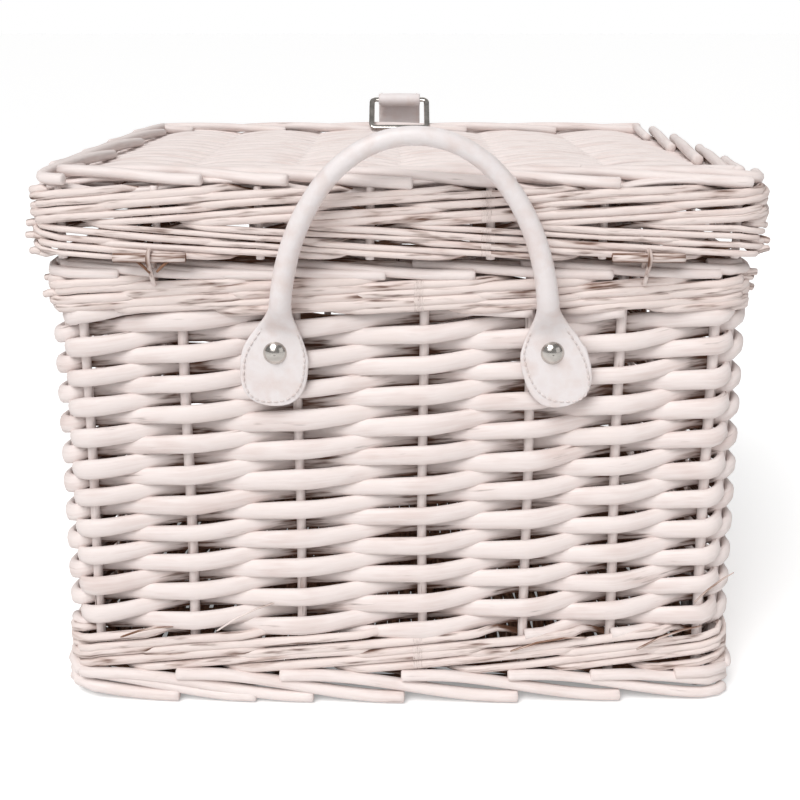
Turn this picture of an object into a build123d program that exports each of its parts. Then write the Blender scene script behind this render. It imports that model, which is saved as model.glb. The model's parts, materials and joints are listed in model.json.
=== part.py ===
from build123d import *
import os
from math import cos, radians, sin, sqrt

# A lidded willow basket that stands on z = 0. X runs along its length, the side with
# the lid's hinges and the raised handle faces -Y, and all sizes are millimetres.

# Woven body
body_length = 369.0
body_depth = 272.0
wall = 17.0
corner_radius = 14.0
long_side_bow = 4.0
short_side_bow = 2.0
foot_height = 20.0
bottom_wale_height = 17.0
side_weave_height = 184.0
rim_wale_height = 15.0
rim_border_height = 11.0
foot_overhang = 3.0
rim_overhang = 1.0

# Willow stakes that the walls are woven round
stake_diameter = 5.5
stake_clearance = 0.05
long_side_stakes = 5
short_side_stakes = 3
stake_foot_gap = 5.0
corner_stake_inset = 11.5

# Base panel
base_drop = 8.0
base_thickness = 10.0
base_stick_diameter = 7.0
base_stick_count = 7
stick_end_gap = 4.0

# Lid
lid_length_overhang = 5.5
lid_depth_overhang = 5.0
lid_wall = 14.0
lid_gap = 0.3
lid_lower_wale_height = 18.7
lid_upper_wale_height = 18.0
lid_border_height = 10.0
lid_border_overhang = 0.5
lid_border_width = 18.0
lid_panel_thickness = 9.0
lid_panel_sink = 5.0
lid_stake_diameter = 4.5
lid_rib_diameter = 5.5
lid_rib_count = 6

# Willow hinges between the lid and the rim
hinge_spacing = 248.0
hinge_rod_diameter = 5.0
hinge_rod_length = 36.0
hinge_rod_proud = 0.5
hinge_loop_strand = 2.0
hinge_loop_width = 2.4
hinge_play = 0.4
hinge_loop_reach_in = 9.5
hinge_loop_reach_down = 12.0
hinge_notch_radius = 9.5

# Handles: a rolled leather grip on two riveted tabs
grip_diameter = 11.0
grip_core_diameter = 6.4
grip_core_fit = 0.05
grip_half_span = 66.5
grip_height = 87.0
grip_shoulder_height = 50.0
grip_shoulder_half_span = 58.5
grip_crown_half_span = 22.0
grip_shoulder_radius = 88.0
grip_crown_radius = 46.0
grip_lean = 5.0
grip_wall_gap = 4.8
near_handle_x = 7.5
far_handle_x = 0.0
handle_pivot_drop = 21.0
tab_thickness = 3.0
tab_gap = 0.2
tab_radius = 17.4
tab_neck_width = 11.0
tab_neck_height = 9.0
tab_neck_rise = 3.0
tab_below_pivot = 50.0
tab_rivet_drop = 26.0
tab_rivet_outset = 4.0

# Rivets and their backing washers
rivet_cap_diameter = 12.0
rivet_cap_height = 3.4
rivet_shank_diameter = 4.0
rivet_hole_play = 0.1
washer_diameter = 14.0
washer_thickness = 1.0

# Closing strap and its ring
strap_width = 30.0
strap_thickness = 2.0
strap_x = 0.0
strap_hinge_drop = 24.0
strap_stand_off = 7.5
strap_base_bottom = 20.0
strap_base_gap = 1.3
strap_rivet_drop = 12.0
strap_rivet_spacing = 14.0
small_cap_diameter = 7.0
small_cap_height = 1.8
small_shank_diameter = 2.6
small_washer_diameter = 8.0
ring_width = 44.0
ring_band = 4.0
ring_thickness = 2.4
ring_corner = 5.0
ring_length = 28.0
ring_lean = 41.2
ring_bar_in = 10.5
ring_bar_up = 40.0
ring_play = 0.32

# Turn lock on the far wall
lock_plate_width = 38.0
lock_plate_height = 20.0
lock_plate_thickness = 1.5
lock_plate_gap = 0.2
lock_rivet_spacing = 28.0
lock_boss_diameter = 9.0
lock_boss_height = 4.0
lock_stem_diameter = 4.0
lock_stem_play = 0.05
button_length = 20.0
button_width = 7.0
button_thickness = 3.5
button_gap = 0.3

NEAR, FAR = -1, 1

# Heights that the sizes above add up to
bottom_wale_z = foot_height
side_weave_z = bottom_wale_z + bottom_wale_height
rim_wale_z = side_weave_z + side_weave_height
rim_border_z = rim_wale_z + rim_wale_height
body_height = rim_border_z + rim_border_height
lid_z = body_height + lid_gap
lid_upper_wale_z = lid_z + lid_lower_wale_height
lid_border_z = lid_upper_wale_z + lid_upper_wale_height
lid_top_z = lid_border_z + lid_border_height
lid_panel_z = lid_top_z - lid_panel_sink - lid_panel_thickness
lid_length = body_length + 2 * lid_length_overhang
lid_depth = body_depth + 2 * lid_depth_overhang
handle_pivot_z = body_height - handle_pivot_drop
hinge_y = -(lid_depth / 2 + hinge_rod_proud)
hinge_z = lid_z + hinge_rod_diameter / 2 + lid_gap
strap_hinge_y = lid_depth / 2 + strap_stand_off
strap_hinge_z = lid_top_z - strap_hinge_drop
# The folded strap brings the middle of the ring down to the lock
lock_z = strap_hinge_z - ring_bar_up - ring_length / 2


def bow_drop(x, half_chord, bow):
    """How far a bowed side has come back in at a distance x from its middle."""
    radius = (half_chord**2 + bow**2) / (2 * bow)
    return radius - sqrt(radius**2 - x**2)


def outline(length, depth, corner):
    """A rectangle with rounded corners and slightly bowed sides, as wide as its bows."""
    x = length / 2 - short_side_bow
    y = depth / 2 - long_side_bow
    with BuildSketch() as sketch:
        with BuildLine():
            ThreePointArc((-x, -y), (0, -depth / 2), (x, -y))
            ThreePointArc((x, -y), (length / 2, 0), (x, y))
            ThreePointArc((x, y), (0, depth / 2), (-x, y))
            ThreePointArc((-x, y), (-length / 2, 0), (-x, -y))
        make_face()
        fillet(sketch.vertices(), corner)
    return sketch.sketch


def band(length, depth, corner, thickness, low, high):
    """A woven band that runs all the way round, from one height to another."""
    ring = outline(length, depth, corner)
    inside = inner_corner(corner, thickness)
    ring -= outline(length - 2 * thickness, depth - 2 * thickness, inside)
    return extrude(Pos(0, 0, low) * ring, high - low)


def side_y(x, depth):
    """The distance from the middle of the basket to the outside of its long wall at x."""
    half_chord = body_length / 2 - short_side_bow
    return depth / 2 - bow_drop(x, half_chord, long_side_bow)


def inner_corner(corner, thickness):
    """The radius inside a corner, which is never quite sharp."""
    return max(corner - thickness, 1.0)


def stake_places(length, depth, thickness):
    """Where stakes stand in the middle of a wall: near, far, left, right and corners."""
    half_x = (length - thickness) / 2
    half_y = (depth - thickness) / 2
    last_x = half_x - corner_stake_inset
    last_y = half_y - corner_stake_inset
    step_x = 2 * last_x / (long_side_stakes + 1)
    step_y = 2 * last_y / (short_side_stakes + 1)
    near, far, left, right, corners = [], [], [], [], []
    for i in range(long_side_stakes):
        x = (i - (long_side_stakes - 1) / 2) * step_x
        y = half_y - bow_drop(x, half_x, long_side_bow)
        near.append((x, -y))
        far.append((x, y))
    for i in range(short_side_stakes):
        y = (i - (short_side_stakes - 1) / 2) * step_y
        x = half_x - bow_drop(y, half_y, short_side_bow)
        left.append((-x, y))
        right.append((x, y))
    drop_x = bow_drop(last_y, half_y, short_side_bow)
    drop_y = bow_drop(last_x, half_x, long_side_bow)
    for x, y in ((last_x, half_y - drop_y), (half_x - drop_x, last_y)):
        corners += [(x, y), (-x, y), (x, -y), (-x, -y)]
    return near, far, left, right, corners


def rods(places, diameter, low, high):
    """Upright rods at a list of places, as separate solids."""
    middle = (low + high) / 2
    return [Pos(x, y, middle) * Cylinder(diameter / 2, high - low) for x, y in places]


def cut(solid, tools):
    """The solid with each of the tools taken out of it."""
    for tool in tools:
        solid -= tool
    return solid


def rod_along_x(diameter, length, x, y, z):
    """A rod that lies along X about a middle point."""
    return Pos(x, y, z) * Rot(0, 90, 0) * Cylinder(diameter / 2, length)


def rod_along_y(diameter, length, x, y, z):
    """A rod that lies along Y about a middle point."""
    return Pos(x, y, z) * Rot(90, 0, 0) * Cylinder(diameter / 2, length)


# Stakes, and the bores that they leave in the woven bands
body_stakes = stake_places(body_length, body_depth, wall)
near_places, far_places, left_places, right_places, corner_places = body_stakes
all_places = near_places + far_places + left_places + right_places + corner_places
stake_top = body_height - stake_foot_gap
body_bores = rods(all_places, stake_diameter + 2 * stake_clearance, stake_foot_gap, stake_top)


def fastener(cap_diameter, cap_height, shank_diameter, length):
    """A domed rivet along +Z: its cap sits on z = 0 and its shank goes down."""
    cap_r = cap_diameter / 2
    shank_r = shank_diameter / 2
    dome_r = (cap_r**2 + cap_height**2) / (2 * cap_height)
    mid_x = dome_r * sin(radians(25))
    mid_z = cap_height - dome_r * (1 - cos(radians(25)))
    with BuildPart() as rivet:
        with BuildSketch(Plane.XZ):
            with BuildLine():
                Polyline((0, cap_height), (0, -length), (shank_r, -length), (shank_r, 0), (cap_r, 0))
                ThreePointArc((cap_r, 0), (mid_x, mid_z), (0, cap_height))
            make_face()
        revolve(axis=Axis.Z)
    return rivet.part


def facing(side, x, y, z):
    """A place on a long wall whose +Z points out of the basket."""
    return Location((x, side * y, z), (-90 * side, 0, 0))


class Riveted:
    """A row of rivets through a wall: the rivets, their washers and the holes they need."""

    def __init__(self, side, places, outside_y, inside_y, cap, shank, washer):
        length = outside_y - inside_y + washer_thickness
        self.rivets = []
        self.washers = []
        self.holes = []
        for x, z in places:
            place = facing(side, x, outside_y, z)
            self.rivets.append(place * fastener(cap[0], cap[1], shank, length))
            hole = Cylinder(shank / 2 + rivet_hole_play, length * 2)
            self.holes.append(place * hole)
            disc = Pos(0, 0, -length + washer_thickness / 2) * Cylinder(washer / 2, washer_thickness)
            disc -= Cylinder(shank / 2 + rivet_hole_play, length * 3)
            self.washers.append(place * disc)


# Handle tabs stand on the wall's face at their inner edge, where the bow is fullest
tab_face = side_y(grip_half_span - tab_radius, body_depth) + tab_gap
pivot_y = tab_face + grip_wall_gap + grip_diameter / 2
rivet_z = handle_pivot_z - tab_rivet_drop
rivet_x = grip_half_span + tab_rivet_outset
washer_reach = rivet_x + near_handle_x + washer_diameter / 2
wall_inside = side_y(washer_reach, body_depth) - wall - tab_gap


def handle_rivets(side, middle_x):
    """The two rivets of one handle."""
    places = [(middle_x - rivet_x, rivet_z), (middle_x + rivet_x, rivet_z)]
    cap = (rivet_cap_diameter, rivet_cap_height)
    outside = tab_face + tab_thickness
    return Riveted(side, places, outside, wall_inside, cap, rivet_shank_diameter, washer_diameter)


def tab(side, middle_x, hand, hole):
    """One teardrop tab, from its round foot up to the neck behind the grip's end."""
    neck_x = middle_x + hand * grip_half_span
    foot_x = middle_x + hand * (rivet_x + tab_rivet_outset / 4)
    foot_z = handle_pivot_z - tab_below_pivot + tab_radius
    neck_z = handle_pivot_z - tab_neck_height
    neck_thickness = grip_wall_gap - hinge_play
    with BuildSketch(Plane.XZ) as shape:
        with Locations((foot_x, foot_z)):
            Circle(tab_radius)
        with Locations((neck_x, neck_z)):
            Circle(tab_neck_width / 2)
        make_hull()
    leaf = extrude(shape.sketch, -side * tab_thickness)
    leaf = Pos(0, side * tab_face, 0) * leaf
    neck = Box(tab_neck_width, neck_thickness, tab_neck_height + tab_neck_rise)
    neck_middle_z = neck_z + (tab_neck_height + tab_neck_rise) / 2
    neck = Pos(neck_x, side * (tab_face + neck_thickness / 2), neck_middle_z) * neck
    return leaf + neck - hole


def grip_path(reach):
    """The bail's centre line in the XZ plane, its ends on the pivot line at z = 0."""
    points = [
        (-grip_half_span, 0),
        (-grip_shoulder_half_span, grip_shoulder_height),
        (-grip_crown_half_span, reach),
        (grip_crown_half_span, reach),
        (grip_shoulder_half_span, grip_shoulder_height),
        (grip_half_span, 0),
    ]
    radii = [grip_shoulder_radius, grip_crown_radius, grip_crown_radius, grip_shoulder_radius]
    with BuildLine(Plane.XZ) as line:
        FilletPolyline(*points, radius=radii)
    return line.line


def swept(path, diameter):
    """A round rod along a path."""
    with BuildSketch(Plane(origin=path @ 0, z_dir=path % 0)) as section:
        Circle(diameter / 2)
    return sweep(section.sketch, path=path)


def grip_at(side, middle_x, angle, solid):
    """Puts a bail on its pivot line, turned by an angle from straight up."""
    return Location((middle_x, side * pivot_y, handle_pivot_z)) * Rot(-side * angle, 0, 0) * solid


def grip_and_core():
    """The leather grip with rounded ends, and the rope inside it."""
    path = grip_path(grip_height)
    leather = swept(path, grip_diameter)
    for end in (path @ 0, path @ 1):
        leather += Pos(end) * Sphere(grip_diameter / 2)
    leather -= swept(path, grip_core_diameter + 2 * grip_core_fit)
    return leather, swept(path, grip_core_diameter)


# Closing strap: a leaf riveted to the lid's far wall, and the free part with its ring
strap_face = lid_depth / 2 + tab_gap
lid_inside = lid_depth / 2 - lid_wall - tab_gap
bar_y = strap_hinge_y - ring_bar_in
bar_z = strap_hinge_z + ring_bar_up
loop_hole = sqrt(ring_band**2 + ring_thickness**2) / 2 + ring_play


def strap_from(side_view):
    """Leather of the strap's width from its side view."""
    return Pos(strap_x, 0, 0) * extrude(side_view, strap_width / 2, both=True)


def strap_base(holes):
    """The fixed leaf of the strap, with a lip that the free part bends over."""
    low = strap_hinge_z - strap_base_bottom
    high = strap_hinge_z - strap_base_gap - strap_thickness / 2
    lip_out = strap_hinge_y - strap_thickness / 2 - lid_gap
    with BuildSketch(Plane.YZ) as side_view:
        with Locations((strap_face + strap_thickness / 2, (low + high) / 2)):
            Rectangle(strap_thickness, high - low)
        with Locations(((strap_face + lip_out) / 2, high - strap_thickness / 2)):
            Rectangle(lip_out - strap_face, strap_thickness)
    return cut(strap_from(side_view.sketch), holes)


def strap():
    """The free strap: up past the lid's border, over, and round the ring's bar."""
    outer = loop_hole + strap_thickness
    top_z = bar_z + outer - strap_thickness / 2
    bend = strap_hinge_y - bar_y - strap_thickness / 2
    with BuildSketch(Plane.YZ) as side_view:
        with BuildLine() as middle:
            rise = Line((strap_hinge_y, strap_hinge_z), (strap_hinge_y, top_z - bend))
            over = ThreePointArc(
                rise @ 1,
                (strap_hinge_y - bend * (1 - cos(radians(45))), top_z - bend * (1 - sin(radians(45)))),
                (strap_hinge_y - bend, top_z),
            )
            Line(over @ 1, (bar_y, top_z))
        trace(middle.line, strap_thickness)
        with Locations((strap_hinge_y, strap_hinge_z)):
            Circle(strap_thickness / 2)
        with Locations((bar_y, bar_z)):
            Circle(outer)
            Circle(loop_hole, mode=Mode.SUBTRACT)
    return strap_from(side_view.sketch)


def closure_ring():
    """A rectangular ring whose long bar lies in the strap's loop, leaning on the lid."""
    with BuildSketch() as ring:
        with Locations((0, -ring_length / 2)):
            RectangleRounded(ring_width, ring_length + ring_band, ring_corner)
            RectangleRounded(
                ring_width - 2 * ring_band, ring_length - ring_band, 2.0, mode=Mode.SUBTRACT
            )
    flat = extrude(ring.sketch, ring_thickness / 2, both=True)
    return Location((strap_x, bar_y, bar_z)) * Rot(ring_lean, 0, 0) * flat


def link_face(radius):
    """A slanted link seen along X, from the hinge line down into the rim."""
    low = (hinge_y + hinge_loop_reach_in, hinge_z - hinge_loop_reach_down)
    with BuildSketch(Plane.YZ) as link:
        with Locations((hinge_y, hinge_z)):
            Circle(radius)
        with Locations(low):
            Circle(radius)
        make_hull()
    return link.sketch


def hinge_loops(grow):
    """Both willow loops, or the slots that they pass through."""
    inner = hinge_rod_diameter / 2 + hinge_play
    face = link_face(inner + hinge_loop_strand + grow) - link_face(inner - grow)
    shape = extrude(face, hinge_loop_width / 2 + grow, both=True)
    return [Pos(side * hinge_spacing / 2, 0, 0) * shape for side in (-1, 1)]


def turn_lock():
    """The plate with its boss, and the button that turns in it."""
    face = body_depth / 2 + lock_plate_gap
    plate_out = face + lock_plate_thickness
    boss_out = plate_out + lock_boss_height
    plate = Pos(strap_x, face + lock_plate_thickness / 2, lock_z) * Box(
        lock_plate_width, lock_plate_thickness, lock_plate_height
    )
    plate = fillet(plate.edges().filter_by(Axis.Y), 4.0)
    plate += rod_along_y(
        lock_boss_diameter, lock_boss_height, strap_x, plate_out + lock_boss_height / 2, lock_z
    )
    bore = lock_stem_diameter + 2 * lock_stem_play
    plate -= rod_along_y(bore, body_depth, strap_x, face, lock_z)
    bar_in = boss_out + button_gap
    bar = Pos(strap_x, bar_in + button_thickness / 2, lock_z) * Box(
        button_length, button_thickness, button_width
    )
    bar = fillet(bar.edges().filter_by(Axis.Y), button_width / 2 - 0.2)
    stem_length = bar_in - face + button_thickness / 2
    stem = rod_along_y(lock_stem_diameter, stem_length, strap_x, face + stem_length / 2, lock_z)
    return plate, bar + stem, plate_out


def build():
    """Every sub-part of the basket, as a dictionary of node name to solid or solids."""
    parts = {}

    # Base and walls
    base_corner = inner_corner(corner_radius, wall)
    inside = (body_length - 2 * wall, body_depth - 2 * wall, base_corner)
    foot_size = (body_length + 2 * foot_overhang, body_depth + 2 * foot_overhang)
    rim_size = (body_length + 2 * rim_overhang, body_depth + 2 * rim_overhang)
    near_rivets = handle_rivets(NEAR, near_handle_x)
    far_rivets = handle_rivets(FAR, far_handle_x)
    lock_plate, turn_button, lock_face = turn_lock()
    lock_places = [(strap_x + side * lock_rivet_spacing / 2, lock_z) for side in (-1, 1)]
    small_cap = (small_cap_diameter, small_cap_height)
    lock_inside = body_depth / 2 - wall - tab_gap
    lock_rivets = Riveted(
        FAR, lock_places, lock_face, lock_inside, small_cap, small_shank_diameter,
        small_washer_diameter,
    )
    wall_holes = near_rivets.holes + far_rivets.holes + lock_rivets.holes
    loop_slots = hinge_loops(stake_clearance * 2)

    base = extrude(Pos(0, 0, base_drop) * outline(*inside), base_thickness)
    stick_z = base_drop + base_thickness / 2
    stick_length = inside[0] - 2 * (stick_end_gap + short_side_bow)
    stick_step = (inside[1] - 2 * long_side_bow) / base_stick_count
    sticks = []
    for i in range(base_stick_count):
        y = (i - (base_stick_count - 1) / 2) * stick_step
        sticks.append(rod_along_x(base_stick_diameter, stick_length, 0, y, stick_z))
    parts["base_sticks"] = sticks
    parts["base_weave"] = cut(base, sticks)

    foot_wall = wall + foot_overhang
    foot_corner = corner_radius + foot_overhang
    foot = band(*foot_size, foot_corner, foot_wall, 0, bottom_wale_z)
    parts["foot_border"] = cut(foot, body_bores)
    for name, low, high in (
        ("bottom_wale", bottom_wale_z, side_weave_z),
        ("side_weave", side_weave_z, rim_wale_z),
        ("rim_wale", rim_wale_z, rim_border_z),
    ):
        ring = band(body_length, body_depth, corner_radius, wall, low, high)
        parts[name] = cut(ring, body_bores + wall_holes + loop_slots)
    rim = band(*rim_size, corner_radius + rim_overhang, wall + rim_overhang, rim_border_z, body_height)
    parts["rim_border"] = cut(rim, body_bores + loop_slots)

    # Stakes
    for name, places in (
        ("near_stakes", near_places),
        ("far_stakes", far_places),
        ("left_stakes", left_places),
        ("right_stakes", right_places),
        ("corner_stakes", corner_places),
    ):
        stakes = rods(places, stake_diameter, stake_foot_gap, stake_top)
        parts[name] = [cut(stake, wall_holes + loop_slots) for stake in stakes]

    # Lid
    strap_places = [
        (strap_x + side * strap_rivet_spacing / 2, strap_hinge_z - strap_rivet_drop)
        for side in (-1, 1)
    ]
    strap_rivets = Riveted(
        FAR, strap_places, strap_face + strap_thickness, lid_inside, small_cap,
        small_shank_diameter, small_washer_diameter,
    )
    lid_corner = corner_radius + (lid_length - body_length) / 2
    lid_groups = stake_places(lid_length, lid_depth, lid_wall)
    lid_places = [place for group in lid_groups for place in group]
    lid_stake_low = lid_z + lid_gap
    lid_bores = rods(
        lid_places, lid_stake_diameter + 2 * stake_clearance, lid_stake_low, lid_border_z
    )
    hinge_rods = []
    hinge_cuts = []
    for side in (-1, 1):
        x = side * hinge_spacing / 2
        hinge_rods.append(rod_along_x(hinge_rod_diameter, hinge_rod_length, x, hinge_y, hinge_z))
        groove = hinge_rod_diameter + 2 * stake_clearance
        hinge_cuts.append(rod_along_x(groove, hinge_rod_length + 1, x, hinge_y, hinge_z))
        notch = hinge_loop_width + 2 * hinge_play
        hinge_cuts.append(rod_along_x(2 * hinge_notch_radius, notch, x, hinge_y, hinge_z))
    lid_cuts = lid_bores + hinge_cuts + strap_rivets.holes
    lower = band(lid_length, lid_depth, lid_corner, lid_wall, lid_z, lid_upper_wale_z)
    parts["lid_lower_wale"] = cut(lower, lid_cuts)
    upper = band(lid_length, lid_depth, lid_corner, lid_wall, lid_upper_wale_z, lid_border_z)
    parts["lid_upper_wale"] = cut(upper, lid_bores)
    border_length = lid_length + 2 * lid_border_overhang
    border_depth = lid_depth + 2 * lid_border_overhang
    border_corner = lid_corner + lid_border_overhang
    parts["lid_border"] = band(
        border_length, border_depth, border_corner, lid_border_width, lid_border_z, lid_top_z
    )
    panel_size = (border_length - 2 * lid_border_width, border_depth - 2 * lid_border_width)
    panel = outline(*panel_size, inner_corner(border_corner, lid_border_width))
    panel = extrude(Pos(0, 0, lid_panel_z) * panel, lid_panel_thickness)
    panel_middle = lid_panel_z + lid_panel_thickness / 2
    rib_step = panel_size[0] / lid_rib_count
    ribs = []
    for i in range(lid_rib_count):
        x = (i - (lid_rib_count - 1) / 2) * rib_step
        rib_length = panel_size[1] - 2 * (long_side_bow + stick_end_gap)
        ribs.append(rod_along_y(lid_rib_diameter, rib_length, x, 0, panel_middle))
    parts["lid_panel"] = cut(panel, ribs)
    parts["lid_ribs"] = ribs
    lid_rods = rods(lid_places, lid_stake_diameter, lid_stake_low, lid_border_z)
    parts["lid_stakes"] = [cut(rod, hinge_cuts + strap_rivets.holes) for rod in lid_rods]
    parts["lid_hinge_rods"] = hinge_rods
    parts["hinge_loops"] = hinge_loops(0)

    # Handles
    for side, name, rivets, middle_x in (
        (NEAR, "near", near_rivets, near_handle_x),
        (FAR, "far", far_rivets, far_handle_x),
    ):
        tabs = []
        for hand, hole in zip((-1, 1), rivets.holes):
            tabs.append(tab(side, middle_x, hand, hole))
        parts[name + "_handle_tabs"] = tabs
        parts[name + "_handle_rivets"] = rivets.rivets
        parts[name + "_handle_washers"] = rivets.washers
    leather, core = grip_and_core()
    parts["near_grip"] = grip_at(NEAR, near_handle_x, grip_lean, leather)
    parts["near_grip_core"] = grip_at(NEAR, near_handle_x, grip_lean, core)
    hanging = 180 - grip_lean
    parts["far_grip"] = grip_at(FAR, far_handle_x, hanging, leather)
    parts["far_grip_core"] = grip_at(FAR, far_handle_x, hanging, core)

    # Closure
    parts["strap_base"] = strap_base(strap_rivets.holes)
    parts["strap_rivets"] = strap_rivets.rivets
    parts["strap_washers"] = strap_rivets.washers
    parts["strap"] = strap()
    parts["closure_ring"] = closure_ring()
    parts["lock_plate"] = cut(lock_plate, lock_rivets.holes)
    parts["lock_rivets"] = lock_rivets.rivets
    parts["lock_washers"] = lock_rivets.washers
    parts["turn_button"] = turn_button
    return parts


os.makedirs("parts", exist_ok=True)
for node, shape in build().items():
    if isinstance(shape, list):
        solids = [solid for piece in shape for solid in piece.solids()]
    else:
        solids = shape.solids()
    export_step(Compound(children=list(solids)), f"parts/{node}.step")
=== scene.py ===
import json
import math
import random

import bmesh
import bpy
import numpy as np
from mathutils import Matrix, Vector


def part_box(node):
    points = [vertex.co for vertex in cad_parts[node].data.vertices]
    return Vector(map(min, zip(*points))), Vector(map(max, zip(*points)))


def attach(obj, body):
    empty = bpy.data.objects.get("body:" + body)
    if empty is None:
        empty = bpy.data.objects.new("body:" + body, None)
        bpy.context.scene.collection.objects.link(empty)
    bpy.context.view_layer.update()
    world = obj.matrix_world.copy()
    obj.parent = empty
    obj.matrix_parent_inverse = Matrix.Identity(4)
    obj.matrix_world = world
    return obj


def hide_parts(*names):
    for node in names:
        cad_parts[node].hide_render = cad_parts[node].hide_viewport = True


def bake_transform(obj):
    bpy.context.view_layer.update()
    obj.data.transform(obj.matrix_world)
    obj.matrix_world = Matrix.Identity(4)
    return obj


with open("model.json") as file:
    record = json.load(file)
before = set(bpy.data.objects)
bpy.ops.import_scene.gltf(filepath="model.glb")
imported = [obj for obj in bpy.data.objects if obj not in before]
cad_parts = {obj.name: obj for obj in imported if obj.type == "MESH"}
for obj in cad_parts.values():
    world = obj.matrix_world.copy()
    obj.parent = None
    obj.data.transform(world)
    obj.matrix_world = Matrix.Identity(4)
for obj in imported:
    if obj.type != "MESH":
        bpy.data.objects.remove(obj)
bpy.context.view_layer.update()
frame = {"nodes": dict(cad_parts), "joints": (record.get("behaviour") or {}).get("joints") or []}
scene = bpy.context.scene

# Studio: a camera a little above the lid, a plain pale floor, and soft light from the
# front and above with a weaker fill, so that the gaps in the weave stay dark. The floor
# is lifted towards white for the camera alone, and lights nothing.
scene.view_settings.view_transform = "Standard"
camera = bpy.data.objects.new("camera", bpy.data.cameras.new("camera"))
camera.data.sensor_width = 36
camera.data.lens = 48.6
camera.data.shift_y = -0.2
camera.location = (0.0005, -0.666, 0.3625)
camera.rotation_euler = (math.radians(78.85), 0, 0)
scene.collection.objects.link(camera)
scene.camera = camera


def join_sockets(tree, *pairs):
    """Links pairs of sockets in a node tree."""
    for source, target in pairs:
        tree.links.new(source, target)


def add_node(tree, kind, **settings):
    """A new node. A setting in_NAME or in_NUMBER is the value of that input."""
    node = tree.nodes.new(kind)
    for key, value in settings.items():
        if key.startswith("in_"):
            socket = key[3:]
            node.inputs[int(socket) if socket.isdigit() else socket].default_value = value
        else:
            setattr(node, key, value)
    return node


sky = bpy.data.worlds.new("studio")
sky.use_nodes = True
sky_tree = sky.node_tree
sky_light = sky_tree.nodes["Background"]
sky_light.inputs["Color"].default_value = (1, 0.995, 0.99, 1)
sky_light.inputs["Strength"].default_value = 0.28
seen_sky = add_node(sky_tree, "ShaderNodeBackground", in_Color=(1, 1, 1, 1))
sky_rays = add_node(sky_tree, "ShaderNodeLightPath")
sky_mix = add_node(sky_tree, "ShaderNodeMixShader")
join_sockets(
    sky_tree,
    (sky_rays.outputs["Is Camera Ray"], sky_mix.inputs[0]),
    (sky_light.outputs[0], sky_mix.inputs[1]),
    (seen_sky.outputs[0], sky_mix.inputs[2]),
    (sky_mix.outputs[0], sky_tree.nodes["World Output"].inputs["Surface"]),
)
scene.world = sky

for lamp_name, place, aim, size, power in (
    ("key_light", (-0.5, -1.2, 1.0), (0, 0, 0.15), 0.8, 3.0),
    ("fill_light", (1.2, -1.0, 0.7), (0, 0, 0.15), 1.0, 2.0),
    ("back_light", (0.3, 1.4, 1.3), (0, 0, 0.2), 1.6, 6),
):
    lamp = bpy.data.objects.new(lamp_name, bpy.data.lights.new(lamp_name, "AREA"))
    lamp.data.size = size
    lamp.data.energy = power
    lamp.location = place
    lamp.rotation_euler = (Vector(aim) - Vector(place)).to_track_quat("-Z", "Y").to_euler()
    scene.collection.objects.link(lamp)

window = bpy.data.objects.new("window_light", bpy.data.lights.new("window_light", "SUN"))
window.data.energy = 2.15
window.data.angle = math.radians(38)
window.rotation_euler = Vector((0.45, 0.85, -1.22)).to_track_quat("-Z", "Y").to_euler()
scene.collection.objects.link(window)

floor_mesh = bpy.data.meshes.new("floor")
sheet = bmesh.new()
bmesh.ops.create_grid(sheet, x_segments=1, y_segments=1, size=60)
sheet.to_mesh(floor_mesh)
sheet.free()
floor = bpy.data.objects.new("floor", floor_mesh)
scene.collection.objects.link(floor)
floor_paint = bpy.data.materials.new("floor_paint")
floor_paint.use_nodes = True
floor_tree = floor_paint.node_tree
floor_skin = floor_tree.nodes["Principled BSDF"]
floor_skin.inputs["Base Color"].default_value = (0.92, 0.92, 0.92, 1)
floor_skin.inputs["Roughness"].default_value = 0.9
floor_skin.inputs["Emission Color"].default_value = (1, 1, 1, 1)
floor_rays = add_node(floor_tree, "ShaderNodeLightPath")
floor_glow = add_node(floor_tree, "ShaderNodeMath", operation="MULTIPLY", in_1=0.27)
join_sockets(
    floor_tree,
    (floor_rays.outputs["Is Camera Ray"], floor_glow.inputs[0]),
    (floor_glow.outputs[0], floor_skin.inputs["Emission Strength"]),
)
floor.data.materials.append(floor_paint)

# Base sticks: seven stout willow sticks that lie along the basket, let into the weave
# of its base. All willow here is bent from round rods, limewashed where the spray
# reached and bare brown where it did not.
mm = 0.001
spray_reach = 8.2
spray_fade = 9.0


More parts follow.
